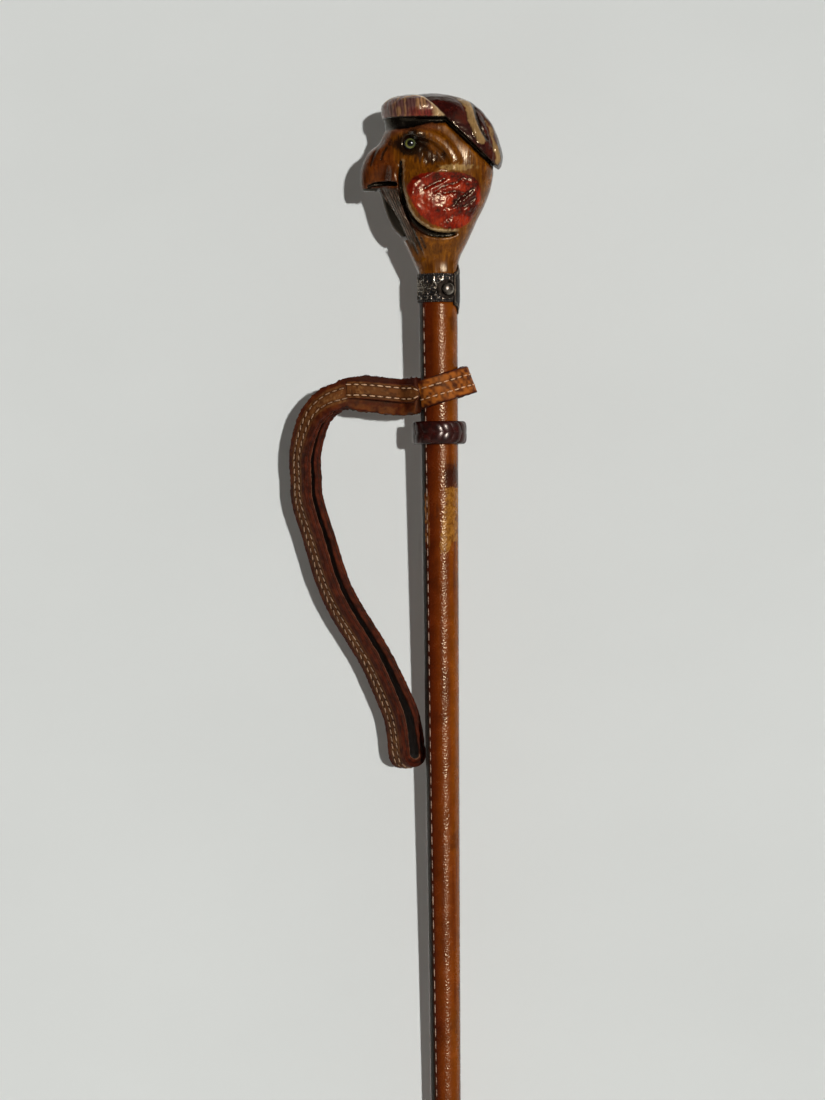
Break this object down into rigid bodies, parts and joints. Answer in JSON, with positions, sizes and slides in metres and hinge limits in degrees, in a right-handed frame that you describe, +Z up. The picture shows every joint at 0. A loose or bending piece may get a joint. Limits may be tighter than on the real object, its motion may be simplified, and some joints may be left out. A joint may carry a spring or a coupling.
{
  "type": "gadget cane",
  "caption": "Walking cane with a carved bird's-head handle; a push button on its silver collar opens the lower beak. Leather-clad shaft with a stop ring and a stitched wrist strap.",
  "frame": {"origin": "centre of the flat end of the steel tip", "axes": "+Z up the shaft towards the handle, -X the way the beak points, -Y the button's side"},
  "size_m": [0.0999, 0.04, 0.8898],
  "materials": {
    "carved_wood": "oiled and waxed, worn lighter on the high places",
    "cap_lacquer": "ox-blood stain and lacquer over wood, worn to buff on the edges",
    "beak_lacquer": "black lacquer over wood",
    "eye_glass": "polished glass, backed with colour",
    "old_silver": "chased silver, tarnished in the hollows",
    "brass": "turned and filed",
    "steel": "drawn and turned",
    "shaft_wood": "planed, hidden under the leather",
    "shaft_leather": "smooth russet calf, polished by handling",
    "strap_leather": "two plies, stitched, with worn and frayed edges",
    "ring_leather": "plaited dark thong"
  },
  "bodies": {
    "cane": {"head_carving": "carved_wood", "cap": "cap_lacquer", "beak_pin": "steel", "eye_left": "eye_glass", "eye_right": "eye_glass", "collar": "old_silver", "collar_cartouche": "old_silver", "button_bush": "old_silver", "mechanism_tube": "brass", "return_spring": "steel", "spring_plug": "shaft_wood", "shaft_core": "shaft_wood", "leather_cover": "shaft_leather", "stop_ring": "ring_leather", "ferrule": "brass", "ferrule_tip": "steel", "ferrule_nails": "brass"},
    "button": {"push_button": "old_silver"},
    "rod": {"push_rod": "brass"},
    "beak": {"lower_beak": "beak_lacquer", "beak_lever": "brass"},
    "strap_loop": {"shaft_loop": "strap_leather"},
    "strap": {"hand_strap": "strap_leather", "strap_tongue": "strap_leather"}
  },
  "joints": [
    {"name": "button_press", "type": "slide", "parent": "cane", "child": "button", "axis": [-0.3907, 0.9205, 0], "range_m": [0, 0.0024], "stiffness_N_per_m": 600, "springref_m": -0.002},
    {"name": "rod_lift", "type": "slide", "parent": "cane", "child": "rod", "axis": [0, 0, 1], "range_m": [0, 0.00325]},
    {"name": "beak_open", "type": "hinge", "parent": "cane", "child": "beak", "pos_m": [-0.01479, 0, 0.8408], "axis": [0, -1, 0], "range_deg": [0, 24.5], "deforming": ["return_spring"]},
    {"name": "strap_slide", "type": "slide", "parent": "cane", "child": "strap_loop", "axis": [0, 0, 1], "range_m": [-0.0035, 0.025]},
    {"name": "strap_swing", "type": "hinge", "parent": "strap_loop", "child": "strap", "pos_m": [0, 0, 0.7515], "axis": [0, 0, 1], "range_deg": [-40, 40]}
  ],
  "couplings": [
    {"joint": "rod_lift", "follows": "button_press", "ratio": 1.35},
    {"joint": "beak_open", "follows": "button_press", "rad_per_m": 177.63}
  ]
}
